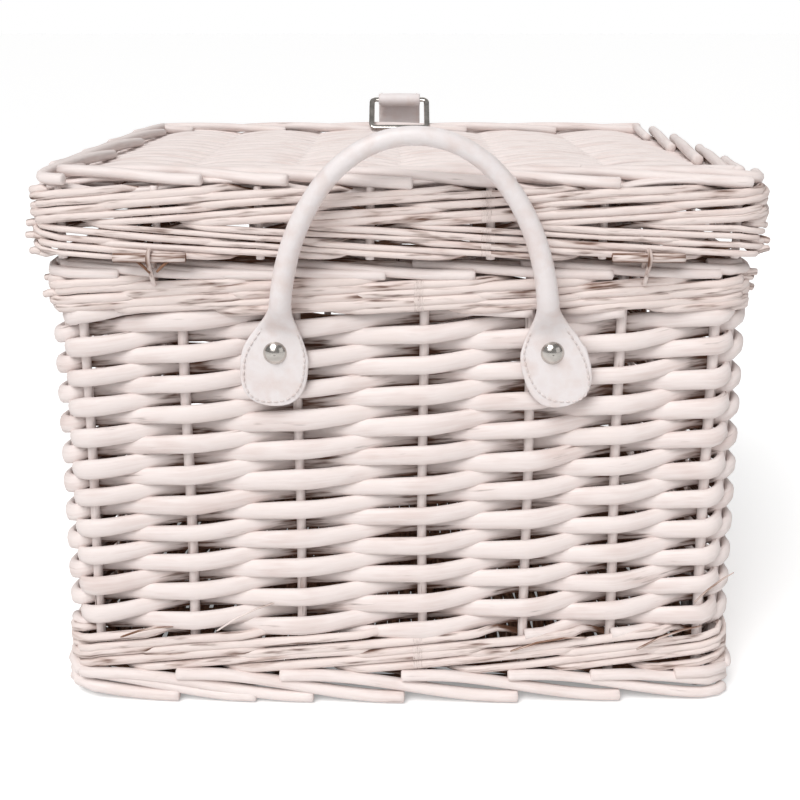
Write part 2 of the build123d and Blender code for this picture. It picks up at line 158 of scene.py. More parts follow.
def bend_rods(material, name, rods, sides=10, closed=False):
    """Rods of one material as one mesh. Each rod gives its centre line, the way out of the
    work at each point, its half height and half thickness, how square it is, how far out
    it lies, its shade and its paint."""
    curve = bpy.data.curves.new(name, "CURVE")
    curve.dimensions = "3D"
    curve.twist_mode = "MINIMUM"
    curve.bevel_depth = 1.0
    curve.bevel_resolution = sides // 2 - 2
    for rod in rods:
        line = curve.splines.new("POLY")
        line.points.add(len(rod["at"]) - 1)
        line.use_cyclic_u = closed
        line.points.foreach_set("co", np.c_[rod["at"], np.ones(len(rod["at"]))].ravel())
        line.points.foreach_set("radius", rod["half"])
    holder = bpy.data.objects.new(name, curve)
    scene.collection.objects.link(holder)
    bpy.context.view_layer.update()
    mesh = bpy.data.meshes.new_from_object(holder)
    bpy.data.objects.remove(holder)
    mesh.name = name
    centre, out, half, thick, square, depth = (
        np.concatenate([rod[key] for rod in rods])
        for key in ("at", "out", "half", "thick", "square", "depth")
    )
    shade, reach = (
        np.concatenate([np.full(len(rod["at"]), rod[key]) for rod in rods])
        for key in ("shade", "paint")
    )
    ahead, along = [], []
    for rod in rods:
        if closed:
            steps = np.roll(rod["at"], -1, 0) - np.roll(rod["at"], 1, 0)
        else:
            steps = np.gradient(rod["at"], axis=0)
        ahead.append(steps / np.linalg.norm(steps, axis=1)[:, None])
        lengths = np.linalg.norm(np.diff(rod["at"], axis=0), axis=1)
        along.append(np.r_[0, np.cumsum(lengths)])
    ahead = np.concatenate(ahead)
    along = np.concatenate(along)
    up = np.cross(ahead, out)
    up /= np.linalg.norm(up, axis=1)[:, None]
    out = np.cross(up, ahead)
    ring = len(mesh.vertices) // len(centre)
    co = np.zeros(len(mesh.vertices) * 3)
    mesh.vertices.foreach_get("co", co)
    spoke = co.reshape(len(centre), ring, 3) - centre[:, None]
    across = np.einsum("nri,ni->nr", spoke, up)
    outward = np.einsum("nri,ni->nr", spoke, out) / half[:, None]
    outward = np.clip(outward, -1, 1)
    bulge = np.sign(outward) * np.abs(outward) ** (1 - 0.72 * square[:, None])
    reached = bulge * thick[:, None]
    shaped = centre[:, None] + across[..., None] * up[:, None]
    shaped += reached[..., None] * out[:, None]
    mesh.vertices.foreach_set("co", shaped.ravel())
    grain = mesh.attributes.new("grain", "FLOAT_VECTOR", "POINT")
    lines = np.stack([np.repeat(along[:, None], ring, 1), across, reached], -1)
    grain.data.foreach_set("vector", lines.astype(np.float32).ravel())
    finish = mesh.attributes.new("finish", "FLOAT_VECTOR", "POINT")
    rim = np.clip((np.abs(across) / half[:, None] - 0.72) / 0.28, 0, 1)
    spray = (depth[:, None] + reached / mm + spray_reach) / spray_fade
    painted = np.clip(spray - 0.2 * rim, 0, 1) * reach[:, None]
    shades = np.repeat(shade[:, None], ring, 1)
    looks = np.stack([shades, painted, np.zeros_like(shades)], -1)
    finish.data.foreach_set("vector", looks.astype(np.float32).ravel())
    work = bmesh.new()
    work.from_mesh(mesh)
    for face in work.faces:
        face.smooth = True
    open_edges = [edge for edge in work.edges if edge.is_boundary]
    bmesh.ops.holes_fill(work, edges=open_edges, sides=ring)
    bmesh.ops.recalc_face_normals(work, faces=work.faces)
    work.to_mesh(mesh)
    work.free()
    piece = bpy.data.objects.new(name, mesh)
    piece.data.materials.append(material)
    scene.collection.objects.link(piece)
    return piece


def rod(at, out, half, thick=None, depth=0.0, shade=0.5, paint=1.0, square=0.0):
    """One rod in millimetres, ready for bend_rods. Single numbers hold all along it."""
    count = len(at)
    return {
        "at": np.array(at, float) * mm,
        "out": np.zeros((count, 3)) + np.array(out, float),
        "half": (np.zeros(count) + half) * mm,
        "thick": (np.zeros(count) + (half if thick is None else thick)) * mm,
        "square": np.zeros(count) + square,
        "depth": np.zeros(count) + depth,
        "shade": shade,
        "paint": paint,
    }


def math_node(tree, operation, first, second, third=None):
    """A maths node whose inputs are sockets or numbers."""
    node = add_node(tree, "ShaderNodeMath", operation=operation)
    for index, value in enumerate((first, second, third)):
        if value is None:
            continue
        if isinstance(value, (int, float)):
            node.inputs[index].default_value = value
        else:
            tree.links.new(value, node.inputs[index])
    return node.outputs[0]


def ramp_node(tree, factor, *stops):
    """A colour ramp with (place, colour) stops."""
    node = add_node(tree, "ShaderNodeValToRGB")
    while len(node.color_ramp.elements) < len(stops):
        node.color_ramp.elements.new(0.5)
    for element, (place, colour) in zip(node.color_ramp.elements, stops):
        element.position = place
        element.color = (*colour, 1)
    tree.links.new(factor, node.inputs["Fac"])
    return node.outputs["Color"]


def new_group(name, inputs, outputs):
    """A node group with its inputs, their values and its outputs: itself and both ends."""
    group = bpy.data.node_groups.new(name, "ShaderNodeTree")
    for socket, kind, value in inputs:
        made = group.interface.new_socket(name=socket, in_out="INPUT", socket_type=kind)
        made.default_value = value
    for socket, kind in outputs:
        group.interface.new_socket(name=socket, in_out="OUTPUT", socket_type=kind)
    return group, add_node(group, "NodeGroupInput"), add_node(group, "NodeGroupOutput")


def new_finish(name, group, strength, distance):
    """A material whose roughness and bumps come from a node group: the material, its
    tree, its skin and the group's node."""
    finish = bpy.data.materials.new(name)
    finish.use_nodes = True
    tree = finish.node_tree
    skin = tree.nodes["Principled BSDF"]
    shared = add_node(tree, "ShaderNodeGroup", node_tree=group)
    bump = add_node(tree, "ShaderNodeBump", in_Strength=strength, in_Distance=distance)
    join_sockets(
        tree,
        (shared.outputs["Roughness"], skin.inputs["Roughness"]),
        (shared.outputs["Height"], bump.inputs["Height"]),
        (bump.outputs[0], skin.inputs["Normal"]),
    )
    return finish, tree, skin, shared


colour_and_grain = (
    ("Color", "NodeSocketColor"),
    ("Roughness", "NodeSocketFloat"),
    ("Height", "NodeSocketFloat"),
)


def limewash_group():
    """Willow grain along a rod, and limewash that covers it where the spray reached."""
    group, ins, outs = new_group("limewashed willow grain", (
        ("Grain", "NodeSocketVector", (0, 0, 0)),
        ("Shade", "NodeSocketFloat", 0.5),
        ("Spray", "NodeSocketFloat", 1.0),
        ("Thin", "NodeSocketFloat", 0.5),
        ("Limewash", "NodeSocketColor", (0.8, 0.75, 0.72, 1)),
    ), colour_and_grain)
    offset = math_node(group, "MULTIPLY", ins.outputs["Shade"], 37.0)
    spots = []
    for stretch, scale, detail in ((0.07, 620.0, 4.0), (0.11, 400.0, 3.0), (0.5, 60.0, 2.0)):
        squeeze = add_node(
            group, "ShaderNodeVectorMath", operation="MULTIPLY", in_1=(stretch, 1, 1)
        )
        shift = add_node(group, "ShaderNodeVectorMath", operation="ADD")
        noise = add_node(group, "ShaderNodeTexNoise", in_Scale=scale, in_Detail=detail)
        join_sockets(
            group,
            (ins.outputs["Grain"], squeeze.inputs[0]),
            (squeeze.outputs[0], shift.inputs[0]),
            (offset, shift.inputs[1]),
            (shift.outputs[0], noise.inputs["Vector"]),
        )
        spots.append(noise.outputs["Fac"])
    fine, streak, patch = spots
    wear = math_node(group, "MULTIPLY_ADD", streak, 1.5, -0.75)
    blotch = math_node(group, "MULTIPLY_ADD", patch, 0.6, -0.3)
    cover = math_node(group, "ADD", math_node(group, "ADD", ins.outputs["Spray"], wear), blotch)
    low = math_node(group, "MULTIPLY", ins.outputs["Thin"], 0.62)
    mask = add_node(group, "ShaderNodeMapRange", interpolation_type="SMOOTHSTEP")
    high = math_node(group, "ADD", low, 0.42)
    join_sockets(
        group, (cover, mask.inputs[0]), (low, mask.inputs[1]), (high, mask.inputs[2])
    )
    bare = ramp_node(
        group, streak,
        (0.25, (0.085, 0.036, 0.022)), (0.5, (0.2, 0.098, 0.058)), (0.75, (0.4, 0.235, 0.15)),
    )
    cloudy = math_node(group, "MULTIPLY", patch, 0.6)
    cloudy = math_node(group, "ADD", cloudy, math_node(group, "MULTIPLY", fine, 0.4))
    lime = ramp_node(
        group, cloudy,
        (0.3, (0.86, 0.8, 0.78)), (0.52, (1, 1, 1)), (0.75, (0.95, 0.92, 0.9)),
    )
    rough = math_node(group, "MULTIPLY_ADD", mask.outputs[0], -0.22, 0.74)
    coat = math_node(group, "MULTIPLY", mask.outputs[0], 0.3)
    height = math_node(group, "ADD", math_node(group, "MULTIPLY", fine, 0.7), coat)
    tinted = add_node(
        group, "ShaderNodeMix", data_type="RGBA", blend_type="MULTIPLY", in_0=1.0
    )
    both = add_node(group, "ShaderNodeMix", data_type="RGBA")
    join_sockets(
        group,
        (ins.outputs["Limewash"], tinted.inputs[6]),
        (lime, tinted.inputs[7]),
        (mask.outputs[0], both.inputs[0]),
        (bare, both.inputs[6]),
        (tinted.outputs[2], both.inputs[7]),
        (both.outputs[2], outs.inputs["Color"]),
        (rough, outs.inputs["Roughness"]),
        (height, outs.inputs["Height"]),
    )
    return group


limewash = limewash_group()


def willow_finish(name, colour, thin):
    """A willow material: its limewash colour and how thin the wash is."""
    finish, tree, skin, wash = new_finish(name, limewash, 0.55, 0.0004)
    grain = add_node(tree, "ShaderNodeAttribute", attribute_name="grain")
    looks = add_node(tree, "ShaderNodeAttribute", attribute_name="finish")
    split = add_node(tree, "ShaderNodeSeparateXYZ")
    wash.inputs["Thin"].default_value = thin
    wash.inputs["Limewash"].default_value = (*colour, 1)
    skin.inputs["Specular IOR Level"].default_value = 0.3
    join_sockets(
        tree,
        (grain.outputs["Vector"], wash.inputs["Grain"]),
        (looks.outputs["Vector"], split.inputs[0]),
        (split.outputs[0], wash.inputs["Shade"]),
        (split.outputs[1], wash.inputs["Spray"]),
        (wash.outputs["Color"], skin.inputs["Base Color"]),
    )
    return finish


white_willow = willow_finish("limewashed_willow", (0.82, 0.735, 0.71), 0.52)
thin_willow = willow_finish("thinly_washed_willow", (0.78, 0.68, 0.645), 0.9)
base_shades = random.Random(4)
base_low, base_high = (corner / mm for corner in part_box("base_weave"))
stick_low, stick_high = (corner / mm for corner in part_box("base_sticks"))
stick_z = (stick_low.z + stick_high.z) / 2
stick_ys = np.linspace(stick_low.y + 3.5, stick_high.y - 3.5, 7)
sticks = []
for y in stick_ys:
    xs = np.linspace(stick_low.x, stick_high.x, 20)
    line = [(x, y + 0.6 * math.sin(x / 31 + y), stick_z) for x in xs]
    sticks.append(rod(line, (0, 0, 1), 3.3, depth=-4, shade=base_shades.random(), paint=0.2))
base_sticks = bend_rods(thin_willow, "base_sticks_willow", sticks)
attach(base_sticks, "basket")
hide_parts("base_sticks")

# Base weave: willow rods packed close across the base sticks, over one and under the
# next, with their ends held in the foot of the walls. Left bare underneath.
base_rods = []
base_pitch = 7.2
base_count = int((base_high.x - base_low.x - 8) / base_pitch)
ys = np.linspace(base_low.y + 1, base_high.y - 1, 60)
swing = np.cos(math.pi * (ys - stick_ys[0]) / (stick_ys[1] - stick_ys[0]))
for i in range(base_count + 1):
    x = -base_count * base_pitch / 2 + i * base_pitch
    lift = (1 if i % 2 else -1) * swing * 3.0
    line = [(x + 0.3 * math.sin(y / 9 + i), y, stick_z + d) for y, d in zip(ys, lift)]
    base_rods.append(
        rod(line, (0, 0, 1), 3.4, 1.9, depth=lift - 5, shade=base_shades.random(), paint=0.5)
    )
base_weave = bend_rods(thin_willow, "base_weave_willow", base_rods, sides=8)
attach(base_weave, "basket")
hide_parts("base_weave")

# Wall stakes: upright willow rods, five on each long side, three on each short side and
# two in each corner, not quite evenly spaced. Everything else is woven round them.
willow_chance = random.Random(11)


def wall_course(length, depth, corner, long_bow, short_bow):
    """The line round a bowed wall as places, ways out and running length, from the near
    side's middle towards +X."""
    hx, hy = length / 2 - short_bow, depth / 2 - long_bow
    cx, cy = hx - corner, hy - corner
    near = [(x, -hy - long_bow * (1 - (x / hx) ** 2)) for x in np.linspace(-cx, cx, 200)]
    right = [(hx + short_bow * (1 - (y / hy) ** 2), y) for y in np.linspace(-cy, cy, 150)]
    turns = np.linspace(0, math.pi / 2, 40)[1:-1]
    bend = [(cx + corner * math.sin(t), -cy - corner * math.cos(t)) for t in turns]
    half_round = near + bend + right + [(x, -y) for x, y in reversed(bend)]
    rest = [(-x, -y) for x, y in half_round]
    points = np.array(half_round[100:] + rest + near[:100])
    for _ in range(6):
        points = (np.roll(points, 1, 0) + 2 * points + np.roll(points, -1, 0)) / 4
    steps = np.linalg.norm(np.roll(points, -1, 0) - points, axis=1)
    run = np.r_[0, np.cumsum(steps)]
    ahead = np.roll(points, -1, 0) - np.roll(points, 1, 0)
    ahead /= np.linalg.norm(ahead, axis=1)[:, None]
    outs = np.c_[ahead[:, 1], -ahead[:, 0]]
    return {"points": points, "outs": outs, "run": run, "round": run[-1]}


def course_at(course, s):
    """Places and ways out at running lengths s, as rows of x, y and of out x, out y."""
    s = np.mod(s, course["round"])
    points, outs = (
        np.stack([np.interp(s, course["run"], np.r_[row, row[:1]]) for row in course[key].T], -1)
        for key in ("points", "outs")
    )
    return points, outs / np.linalg.norm(outs, axis=1)[:, None]


def station(course, x, y):
    """The running length on the course that is nearest to x, y."""
    gap = np.linalg.norm(course["points"] - np.array((x, y)), axis=1)
    return course["run"][int(np.argmin(gap))]


def stake_stations(course, near_x, half_x, half_y, inset, step_x, step_y):
    """Running lengths of the 24 stakes, in order round the wall."""
    spots = [(x, -half_y) for x in near_x]
    spots += [((i - 2) * step_x, half_y) for i in range(5)]
    for side in (-1, 1):
        spots += [(side * half_x, (i - 1) * step_y) for i in range(3)]
    for x, y in ((half_x - inset, half_y), (half_x, half_y - inset)):
        spots += [(x, y), (-x, y), (x, -y), (-x, -y)]
    return np.array(sorted(station(course, x, y) for x, y in spots))


def wall_rod(course, s, z, depth, half, thick, shade, paint=1.0):
    """A rod that runs round a wall at running lengths s, heights z and depths."""
    points, outs = course_at(course, s)
    shifted = points + outs * np.asarray(depth)[:, None]
    at = np.c_[shifted, z]
    out = np.c_[outs, np.zeros(len(s))]
    return rod(at, out, half, thick, depth=depth, shade=shade, paint=paint)


body_course = wall_course(352, 255, 8, 4, 1)
near_stake_x = (-111, -53, 12, 67.5, 115)
body_stations = stake_stations(body_course, near_stake_x, 175, 123.5, 11.5, 54.8, 58)


def standing_rods(course, stations, low, high, radius, seed):
    """Stakes that stand in the middle of a wall and wander a little."""
    chance = random.Random(seed)
    made = []
    for s in stations:
        zs = np.linspace(low, high, 14)
        sway = chance.uniform(0, 6)
        drift = 0.5 * np.sin(zs / 33 + sway)
        size = radius * chance.uniform(0.92, 1.06)
        points, outs = course_at(course, s + drift)
        at = np.c_[points, zs]
        out = np.c_[outs, np.zeros(len(zs))]
        made.append(rod(at, out, size, depth=2.2, shade=chance.random(), paint=0.9))
    return made


stake_rods = standing_rods(body_course, body_stations, 5, 242, 2.6, 3)
stakes = bend_rods(white_willow, "wall_stakes_willow", stake_rods)
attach(stakes, "basket")
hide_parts("near_stakes", "far_stakes", "left_stakes", "right_stakes", "corner_stakes")

# Foot border: the stakes' lower ends, bent over and plaited round the foot. Each rod
# starts high on the outside with a cut end and runs down under the next ones.
def smooth(t):
    """An even start and stop between 0 and 1."""
    t = np.clip(t, 0, 1)
    return t * t * (3 - 2 * t)


def cut_taper(count):
    """Sizes along a rod whose ends are cut square with a softened rim."""
    sizes = np.ones(count)
    sizes[0] = sizes[-1] = 0.72
    return sizes


def cut_steps(count):
    """Steps from 0 to 1 with two close together at each cut end."""
    return np.r_[0, 0.006, np.linspace(0.03, 0.97, count - 4), 0.994, 1]


foot_rods = []
foot_chance = random.Random(21)
for s in body_stations:
    for side, paint in ((1, 1.0), (-1, 0.5)):
        t = cut_steps(22)
        run = foot_chance.uniform(116, 138)
        start = s - foot_chance.uniform(6, 14)
        top = foot_chance.uniform(15.5, 16.6)
        z = top - (top - 3.6) * smooth((t - 0.1) / 0.85)
        d = side * (7.6 - 1.2 * np.sin(math.pi * t))
        size = foot_chance.uniform(2.9, 3.45) * cut_taper(22)
        foot_rods.append(
            wall_rod(body_course, start + run * t, z, d, size, size, foot_chance.random(), paint)
        )
foot_border = bend_rods(white_willow, "foot_border_willow", foot_rods)
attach(foot_border, "basket")
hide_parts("foot_border")

# Bottom wale: two rounds of three rods worked together, each in front of two stakes
# and behind the third, which gives a rope that climbs to the right.
def steps_through(stops, first=0):
    """Running lengths about 5 mm apart from stop to stop, and the stops passed so far."""
    s, u = [], []
    for k, (here, after) in enumerate(zip(stops, stops[1:])):
        count = max(5, int((after - here) / 5))
        t = np.arange(count) / count
        s.append(here + (after - here) * t)
        u.append(first + k + t)
    return np.concatenate(s), np.concatenate(u)


def wander(chance, u, stops, low, high, period=None):
    """Random values at the stops, with straight runs between them."""
    return np.interp(u, stops, [chance.uniform(low, high) for _ in stops], period=period)


def wale_rounds(course, stations, low, high, rounds, climb, reach, half, thick, seed):
    """Three rods a round that pass in front of two stakes and behind one."""
    chance = random.Random(seed)
    round_height = (high - low) / rounds
    made = []
    total = len(stations)
    ends = np.r_[stations, stations[0] + course["round"]]
    for level in range(rounds):
        for lead in range(3):
            s, u = steps_through(ends)
            phase = np.mod(u - lead - level, 3)
            front = smooth(phase / 0.55) * smooth((3 - phase) / 0.55)
            d = -5.4 + (5.4 + reach) * front
            rise = np.interp(phase, (0, 0.3, 2.7, 3), (0, -1.2, 1.2, 0))
            z = low + round_height * (level + 0.5 + climb * 0.42 * rise)
            z = z + wander(chance, u, np.arange(total), -0.7, 0.7, total)
            size = wander(chance, u, np.arange(total), 0.78, 1.2, total)
            tall = half * size * (0.72 + 0.28 * front)
            made.append(wall_rod(course, s, z, d, tall, thick * size, chance.random()))
    return made


bottom_rods = wale_rounds(
    body_course, body_stations, low=20.0, high=38.2, rounds=2, climb=1.45,
    reach=5.8, half=2.45, thick=2.1, seed=31,
)
bottom_wale = bend_rods(thin_willow, "bottom_wale_willow", bottom_rods, closed=True)
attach(bottom_wale, "basket")
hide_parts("bottom_wale")

# Side weave: single rods worked in front of one stake and behind the next, climbing a
# little at every stake, so that sixteen rods wind up the wall one above the other.
side_low, side_high = 37.5, 220.5
side_pitch = 8.36
side_climb = side_pitch * 2 / 3
side_chance = random.Random(43)
side_rods = []
stake_total = len(body_stations)


def stake_run(k):
    """The running length of stake k, counted on past one turn."""
    return body_stations[k % stake_total] + body_course["round"] * (k // stake_total)


for lane in range(16):
    base_z = side_low + 4.0 + lane * side_pitch
    first = math.ceil((side_low + 3.2 - base_z) / side_climb) - 1
    last = math.floor((side_high - 3.0 - base_z) / side_climb) + 1
    s, u = steps_through([stake_run(k) for k in range(first, last + 1)], first)
    s, u = np.r_[s, stake_run(last)], np.r_[u, last]
    k = np.minimum(np.floor(u), last - 1)
    t = u - k
    sign = np.where((k + lane) % 2 == 0, 1.0, -1.0)
    swap = 0.45 * t + 0.55 * smooth((t - 0.06) / 0.88)
    way = sign * (1 - 2 * swap)
    front = (way + 1) / 2
    slots = np.arange(first, last + 1)
    rise = wander(side_chance, u, slots, -0.75, 0.75)
    fat = wander(side_chance, u, slots, 0.9, 1.1)
    taper = side_chance.uniform(0.94, 1.05)
    climb = k + 0.35 * t + 0.65 * smooth(t)
    z = base_z + side_climb * climb + rise - 1.2 * (1 - front) ** 2
    half = (4.4 + 0.95 * front**2 + 0.6 * (1 - front) ** 2) * fat * taper
    z = np.clip(z, side_low + 1.6, side_high - 1.2)
    half = np.clip(np.minimum(half, np.minimum(z - side_low, side_high - z) + 1.4), 1.6, 6)
    thick = 2.3 + 0.5 * front
    side_rods.append(wall_rod(body_course, s, z, 5.3 * way, half, thick, side_chance.random()))
side_weave = bend_rods(white_willow, "side_weave_willow", side_rods, sides=12)
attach(side_weave, "basket")
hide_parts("side_weave")

# Rim wale: three rods worked together as at the foot, in thicker willow.
rim_rods = wale_rounds(
    body_course, body_stations, low=220.5, high=236.5, rounds=2, climb=1,
    reach=5.9, half=2.6, thick=2.4, seed=53,
)
rim_wale = bend_rods(thin_willow, "rim_wale_willow", rim_rods, closed=True)
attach(rim_wale, "basket")
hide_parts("rim_wale")

# Rim border: the stakes' upper ends, laid over in turn round the top of the wall and
# tucked down inside, which gives the basket its rounded edge.
rim_border_rods = []
rim_chance = random.Random(61)
for s in body_stations:
    for side, paint in ((1, 1.0), (-1, 0.7)):
        t = cut_steps(18)
        run = rim_chance.uniform(92, 112)
        z = 243.6 - 4.2 * smooth(t * 1.1)
        d = side * (5.6 - 5.0 * (1 - smooth(t * 1.3)))
        size = rim_chance.uniform(2.5, 3.0) * cut_taper(18)
        start = s - 6 + (0 if side > 0 else 20)
        rim_border_rods.append(
            wall_rod(body_course, start + run * t, z, d, size, size, rim_chance.random(), paint)
        )
rim_border = bend_rods(white_willow, "rim_border_willow", rim_border_rods)
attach(rim_border, "basket")
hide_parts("rim_border")

# Hinge loops and hinge rods: a split willow twig is passed round a short rod in the
# lid's lowest wale and down through the basket's rim, once at each end.
rod_low, rod_high = (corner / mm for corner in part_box("lid_hinge_rods"))
hinge_y = (rod_low.y + rod_high.y) / 2
hinge_z = (rod_low.z + rod_high.z) / 2
loop_low, loop_high = (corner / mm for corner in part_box("hinge_loops"))
loop_y = loop_high.y - 5.0
loop_z = loop_low.z + 5.0
loop_lean = math.atan2(loop_z - hinge_z, loop_y - hinge_y)
loop_radius = 3.9
hinge_rods, loops = [], []
for side in (-1, 1):
    middle = side * (rod_high.x - 18)
    line = [(x, hinge_y, hinge_z) for x in np.linspace(middle - 18, middle + 18, 8)]
    hinge_rods.append(rod(line, (0, -1, 0), 2.4, shade=0.4, paint=0.8))
    line, outs = [], []
    for y, z, first in ((loop_y, loop_z, -90), (hinge_y, hinge_z, 90)):
        for a in np.linspace(first, first + 180, 13):
            turn = loop_lean + math.radians(a)
            line.append((
                middle, y + loop_radius * math.cos(turn), z + loop_radius * math.sin(turn)
            ))
            outs.append((0, math.cos(turn), math.sin(turn)))
    loops.append(rod(line, outs, 1.15, 0.95, depth=4, shade=0.7, paint=0.85))
hinge_rod_piece = bend_rods(thin_willow, "lid_hinge_rods_willow", hinge_rods)
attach(hinge_rod_piece, "lid")
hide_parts("lid_hinge_rods")
hinge_loop_piece = bend_rods(thin_willow, "hinge_loops_willow", loops, closed=True)
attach(hinge_loop_piece, "basket")
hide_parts("hinge_loops")

# Lid stakes: the lid's own uprights. Their trimmed lower ends show under the lowest
# wale, and their tops turn into the border.
lid_course = wall_course(366, 268, 10, 4, 1)
lid_stake_x = (-121, -70, -14, 46, 102)
lid_stations = stake_stations(lid_course, lid_stake_x, 182, 130, 12, 57, 60.7)
lid_stake_rods = standing_rods(lid_course, lid_stations, 247.8, 285, 2.2, 8)
lid_stakes = bend_rods(white_willow, "lid_stakes_willow", lid_stake_rods)
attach(lid_stakes, "lid")
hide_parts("lid_stakes")

# Lid lower wale: two rounds of thin rods worked the other way, which fall to the right
# and leave small windows where the stakes show.
lid_low_rods = wale_rounds(
    lid_course, lid_stations, low=249.3, high=265.5, rounds=2, climb=-1,
    reach=4.3, half=1.6, thick=1.6, seed=71,
)
lid_lower = bend_rods(thin_willow, "lid_lower_wale_willow", lid_low_rods, closed=True)
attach(lid_lower, "lid")
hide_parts("lid_lower_wale")

# Lid upper wale: two rounds that climb to the right, close under the border.
lid_high_rods = wale_rounds(
    lid_course, lid_stations, low=266.5, high=284.0, rounds=2, climb=1,
    reach=4.5, half=2.15, thick=2.0, seed=79,
)
lid_upper = bend_rods(thin_willow, "lid_upper_wale_willow", lid_high_rods, closed=True)
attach(lid_upper, "lid")
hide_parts("lid_upper_wale")

# Lid ribs: six rods from front to back that the lid's top is woven on.
rib_low, rib_high = (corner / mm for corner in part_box("lid_ribs"))
panel_low, panel_high = (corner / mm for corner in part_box("lid_panel"))
panel_z = (panel_low.z + panel_high.z) / 2
rib_xs = np.linspace(rib_low.x + 2.75, rib_high.x - 2.75, 6)
ribs = []
for x in rib_xs:
    ys = np.linspace(rib_low.y, rib_high.y, 20)
    line = [(x + 0.8 * math.sin(y / 37 + x), y, panel_z) for y in ys]
    ribs.append(rod(line, (0, 0, 1), 2.6, shade=willow_chance.random(), paint=0.9))
lid_ribs = bend_rods(white_willow, "lid_ribs_willow", ribs)
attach(lid_ribs, "lid")
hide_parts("lid_ribs")

# Lid panel: wide flat rods woven tight along the lid, over one rib and under the next,
# with a heavy coat of limewash on top. Their ends lie under the border.
panel_rods = []
panel_pitch = 7.6
panel_half_x, panel_half_y = 176, 131
panel_count = int(2 * panel_half_y / panel_pitch)
rib_step = rib_xs[1] - rib_xs[0]
xs = np.linspace(-panel_half_x, panel_half_x, 84)
inside = np.clip((panel_half_x - np.abs(xs)) / 20, 0, 1)
for i in range(panel_count + 1):
    y = -panel_count * panel_pitch / 2 + i * panel_pitch
    wave = np.cos(math.pi * (xs - rib_xs[0]) / rib_step) * (1 if i % 2 else -1)
    lift = np.sign(wave) * np.abs(wave) ** 0.8 * 3.1
    lean = 0.9 * np.sin(xs / 34 + i * 1.7) + 1.1 * wave * math.sin(i * 2.1)
    line = np.c_[xs, np.full(len(xs), y) + lean, panel_z + lift * inside]
    fat = 4.15 * willow_chance.uniform(0.93, 1.07) * (1 + 0.2 * np.abs(wave) * (wave > 0))
    panel_rods.append(
        rod(line, (0, 0, 1), fat, 2.0, depth=lift + 2, shade=willow_chance.random())
    )
lid_panel = bend_rods(white_willow, "lid_panel_willow", panel_rods, sides=8)
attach(lid_panel, "lid")
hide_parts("lid_panel")

# Lid border: rods laid slantwise over the lid's edge, each from a cut end on top down
# to a cut end on the outer face, one beside the next all the way round.
edge_course = wall_course(381, 284, 17, 4, 1)
edge_rods = []
edge_chance = random.Random(97)
edge_corner = 176
edge_starts = (-edge_corner, -123, -70, -15, 40, 92, 140)
edge_places = [station(edge_course, x, -143) for x in edge_starts]
rest_of_edge = edge_course["round"] - 2 * edge_corner
edge_places += [edge_corner + rest_of_edge * (k + 0.3) / 14 for k in range(14)]
for s in edge_places:
    t = cut_steps(26)
    run = edge_chance.uniform(122, 140)
    start = s - edge_chance.uniform(0, 6)
    inboard = -21 + 17.6 * smooth(t * 0.55) / smooth(0.55)
    z = 290.6 - 3.4 * smooth((t - 0.35) / 0.65) + edge_chance.uniform(-0.3, 0.3)
    if edge_corner < s < edge_course["round"] - edge_corner:
        z = 288.6 + 2.9 * np.sin(math.pi * np.clip(t * 1.15, 0, 1))
    size = edge_chance.uniform(2.75, 3.2) * cut_taper(26)
    points, outs = course_at(edge_course, start + run * t)
    shifted = points + outs * inboard[:, None]
    edge_rods.append(
        rod(np.c_[shifted, z], (0, 0, 1), size, size, depth=3, shade=edge_chance.random())
    )
lid_border = bend_rods(white_willow, "lid_border_willow", edge_rods)
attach(lid_border, "lid")
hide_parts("lid_border")

# Near handle: one piece of white imitation leather, flat and teardrop shaped where it is
# riveted to the wall and rolled round a rope for the grip. It bends where it leaves the
# wall. A row of stitches runs inside the edge of each teardrop.
def leather_group():
    """Fine pebbled leather with soft creases, and painted shade that tints the low places of the
    creases darker.
    """
    leather = ("Leather", "NodeSocketColor", (0.9, 0.88, 0.87, 1))
    group, ins, outs = new_group("white leather grain", (leather,), colour_and_grain)
    place = add_node(group, "ShaderNodeTexCoord")
    pebbles = add_node(group, "ShaderNodeTexVoronoi", feature="SMOOTH_F1", in_Scale=1500)
    folds = add_node(group, "ShaderNodeTexNoise", in_Scale=95, in_Detail=4)
    # Painted shade: where the fold noise is low, which is also where the bump is low, the
    # leather is tinted darker and pinker.
    painted_fold_shade = ramp_node(
        group, folds.outputs["Fac"],
        (0.3, (0.93, 0.87, 0.84)), (0.55, (1, 1, 1)), (0.8, (0.97, 0.95, 0.94)),
    )
    tinted = add_node(
        group, "ShaderNodeMix", data_type="RGBA", blend_type="MULTIPLY", in_0=1.0
    )
    raised = math_node(group, "MULTIPLY", pebbles.outputs["Distance"], 0.35)
    rough = math_node(group, "MULTIPLY_ADD", folds.outputs["Fac"], 0.2, 0.32)
    join_sockets(
        group,
        (place.outputs["Object"], pebbles.inputs["Vector"]),
        (place.outputs["Object"], folds.inputs["Vector"]),
        (ins.outputs["Leather"], tinted.inputs[6]),
        (painted_fold_shade, tinted.inputs[7]),
        (tinted.outputs[2], outs.inputs["Color"]),
        (rough, outs.inputs["Roughness"]),
        (math_node(group, "ADD", raised, folds.outputs["Fac"]), outs.inputs["Height"]),
    )
    return group


leather_grain = leather_group()


def leather_finish(name, colour, depth):
    """A leather material of one colour, and how deep its grain is."""
    finish, tree, skin, grain = new_finish(name, leather_grain, 0.4, depth)
    grain.inputs["Leather"].default_value = (*colour, 1)
    skin.inputs["Specular IOR Level"].default_value = 0.45
    join_sockets(tree, (grain.outputs["Color"], skin.inputs["Base Color"]))
    return finish


